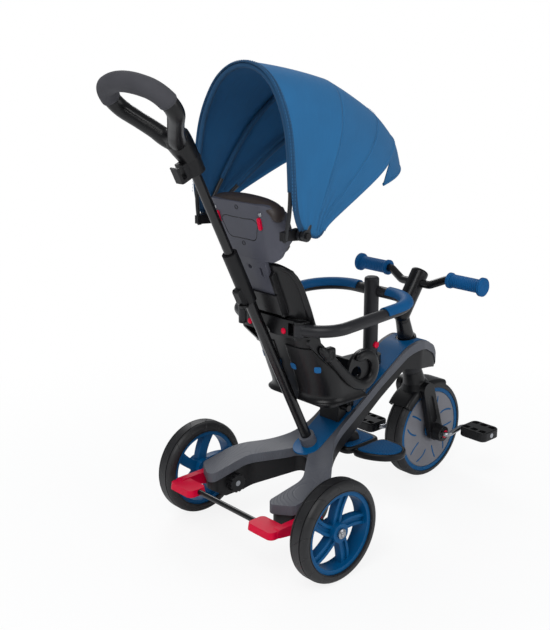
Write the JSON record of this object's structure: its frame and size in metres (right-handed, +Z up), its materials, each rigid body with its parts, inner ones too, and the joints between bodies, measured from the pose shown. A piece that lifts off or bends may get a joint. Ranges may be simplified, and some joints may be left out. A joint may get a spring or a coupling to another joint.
{
  "type": "children's tricycle",
  "caption": "Children's tricycle with parent push bar, bucket seat, safety bar, folding canopy, footrests and a rear parking brake.",
  "frame": {"origin": "middle of the overall box, on the floor", "axes": "+X forward, +Y to the rider's left, +Z up"},
  "size_m": [0.9409, 0.46, 0.9656],
  "materials": {
    "blue_plastic": "satin moulded",
    "red_plastic": "satin moulded",
    "black_plastic": "fine grain",
    "grey_plastic": "fine grain",
    "tyre": "matte",
    "cover_plastic": "satin",
    "steel": "brushed",
    "tube": "powder coat",
    "foam": "closed-cell foam",
    "pad": "mesh cloth",
    "canopy": "woven",
    "headrest": "satin"
  },
  "bodies": {
    "frame": {"frame_top_shell": "grey_plastic", "frame_under_tray": "black_plastic", "frame_inlay": "blue_plastic", "head_tube": "black_plastic", "head_bushes": "black_plastic", "rear_axles": "steel", "pushbar_lower_tube": "tube", "pushbar_sleeve": "black_plastic", "footrest_bracket": "black_plastic"},
    "steering": {"steering_column": "black_plastic", "handlebar_stem": "black_plastic", "handlebar": "tube", "handlebar_grips": "blue_plastic", "fork": "black_plastic", "hub_caps": "black_plastic"},
    "front_wheel": {"front_tyre": "tyre", "front_rim": "blue_plastic", "front_covers": "cover_plastic", "crank": "steel"},
    "pedal_left": {"pedal_left": "black_plastic"},
    "pedal_right": {"pedal_right": "black_plastic"},
    "rear_wheel_left": {"rear_tyre_left": "tyre", "rear_rim_left": "blue_plastic"},
    "rear_wheel_right": {"rear_tyre_right": "tyre", "rear_rim_right": "blue_plastic"},
    "brake": {"brake_pedals": "red_plastic", "brake_rod": "tube"},
    "push_handle": {"pushbar_upper_tube": "tube", "push_handle": "black_plastic", "handle_grip": "foam", "bag_hook": "black_plastic"},
    "seat": {"seat_shell": "grey_plastic", "seat_cushion": "pad", "back_cushion": "pad", "seat_carriage": "black_plastic", "safety_bar_right": "grey_plastic", "safety_pad_right": "blue_plastic", "safety_bar_post": "grey_plastic"},
    "seat_lock": {"seat_lock_lever": "grey_plastic"},
    "gate": {"safety_bar_left": "grey_plastic", "safety_pad_left": "blue_plastic"},
    "arm_button_left": {"arm_button_left": "red_plastic"},
    "arm_button_right": {"arm_button_right": "red_plastic"},
    "post_button": {"post_button": "red_plastic"},
    "headrest": {"headrest_shell": "headrest", "headrest_pad": "pad", "canopy_arms": "tube", "canopy_bow_rear": "tube", "canopy_panel_rear": "canopy"},
    "head_button_left": {"head_button_left": "red_plastic"},
    "head_button_right": {"head_button_right": "red_plastic"},
    "canopy_mid": {"canopy_bow_mid": "tube", "canopy_panel_front": "canopy"},
    "canopy_front": {"canopy_bow_front": "tube", "canopy_band": "canopy", "canopy_peak": "canopy"},
    "footrest_left": {"footrest_left": "black_plastic", "footrest_tread_left": "blue_plastic"},
    "footrest_right": {"footrest_right": "black_plastic", "footrest_tread_right": "blue_plastic"}
  },
  "joints": [
    {"name": "steering_turn", "type": "hinge", "parent": "frame", "child": "steering", "pos_m": [0.3555, 0, 0.115], "axis": [-0.2924, 0, 0.9563], "range_deg": [-42, 42]},
    {"name": "front_wheel_spin", "type": "hinge", "parent": "steering", "child": "front_wheel", "pos_m": [0.3555, 0, 0.115], "axis": [0, 1, 0], "continuous": true},
    {"name": "pedal_left_spin", "type": "hinge", "parent": "front_wheel", "child": "pedal_left", "pos_m": [0.30019, 0, 0.10624], "axis": [0, 1, 0], "continuous": true},
    {"name": "pedal_right_spin", "type": "hinge", "parent": "front_wheel", "child": "pedal_right", "pos_m": [0.41081, 0, 0.12376], "axis": [0, 1, 0], "continuous": true},
    {"name": "rear_left_spin", "type": "hinge", "parent": "frame", "child": "rear_wheel_left", "pos_m": [-0.1545, 0, 0.1025], "axis": [0, 1, 0], "continuous": true},
    {"name": "rear_right_spin", "type": "hinge", "parent": "frame", "child": "rear_wheel_right", "pos_m": [-0.1545, 0, 0.1025], "axis": [0, 1, 0], "continuous": true},
    {"name": "brake_press", "type": "hinge", "parent": "frame", "child": "brake", "pos_m": [-0.1545, 0, 0.1025], "axis": [0, -1, 0], "range_deg": [0, 14]},
    {"name": "push_bar_telescope", "type": "slide", "parent": "frame", "child": "push_handle", "axis": [-0.4352, 0, 0.9003], "range_m": [-0.08, 0.04]},
    {"name": "seat_slide", "type": "slide", "parent": "frame", "child": "seat", "axis": [0.8497, 0, 0.5273], "range_m": [0, 0.03]},
    {"name": "seat_lock_pull", "type": "slide", "parent": "seat", "child": "seat_lock", "axis": [0, -1, 0], "range_m": [0, 0.008], "stiffness_N_per_m": 600},
    {"name": "gate_swing", "type": "hinge", "parent": "seat", "child": "gate", "pos_m": [-0.1275, 0.081, 0.46642], "axis": [0, 0, 1], "range_deg": [0, 100]},
    {"name": "arm_button_left_press", "type": "slide", "parent": "seat", "child": "arm_button_left", "axis": [1, 0, 0], "range_m": [0, 0.0025], "stiffness_N_per_m": 400},
    {"name": "arm_button_right_press", "type": "slide", "parent": "seat", "child": "arm_button_right", "axis": [1, 0, 0], "range_m": [0, 0.0025], "stiffness_N_per_m": 400},
    {"name": "post_button_press", "type": "slide", "parent": "seat", "child": "post_button", "axis": [0, 1, 0], "range_m": [0, 0.0025], "stiffness_N_per_m": 400},
    {"name": "headrest_slide", "type": "slide", "parent": "seat", "child": "headrest", "axis": [-0.3714, 0, 0.9285], "range_m": [0, 0.03]},
    {"name": "head_button_left_press", "type": "slide", "parent": "headrest", "child": "head_button_left", "axis": [0.9703, 0, 0.2419], "range_m": [0, 0.0025], "stiffness_N_per_m": 400},
    {"name": "head_button_right_press", "type": "slide", "parent": "headrest", "child": "head_button_right", "axis": [0.9703, 0, 0.2419], "range_m": [0, 0.0025], "stiffness_N_per_m": 400},
    {"name": "canopy_fold", "type": "hinge", "parent": "headrest", "child": "canopy_mid", "pos_m": [-0.1745, 0, 0.664], "axis": [0, -1, 0], "range_deg": [0, 15], "deforming": ["canopy_panel_rear"]},
    {"name": "canopy_fold_front", "type": "hinge", "parent": "headrest", "child": "canopy_front", "pos_m": [-0.1745, 0, 0.664], "axis": [0, -1, 0], "range_deg": [0, 30], "deforming": ["canopy_panel_front"]},
    {"name": "footrest_left_fold", "type": "hinge", "parent": "frame", "child": "footrest_left", "pos_m": [-0.1545, 0.058, 0.15], "axis": [1, 0, 0], "range_deg": [0, 85]},
    {"name": "footrest_right_fold", "type": "hinge", "parent": "frame", "child": "footrest_right", "pos_m": [-0.1545, -0.058, 0.15], "axis": [-1, 0, 0], "range_deg": [0, 85]}
  ],
  "couplings": [
    {"joint": "canopy_fold_front", "follows": "canopy_fold", "ratio": 2}
  ]
}
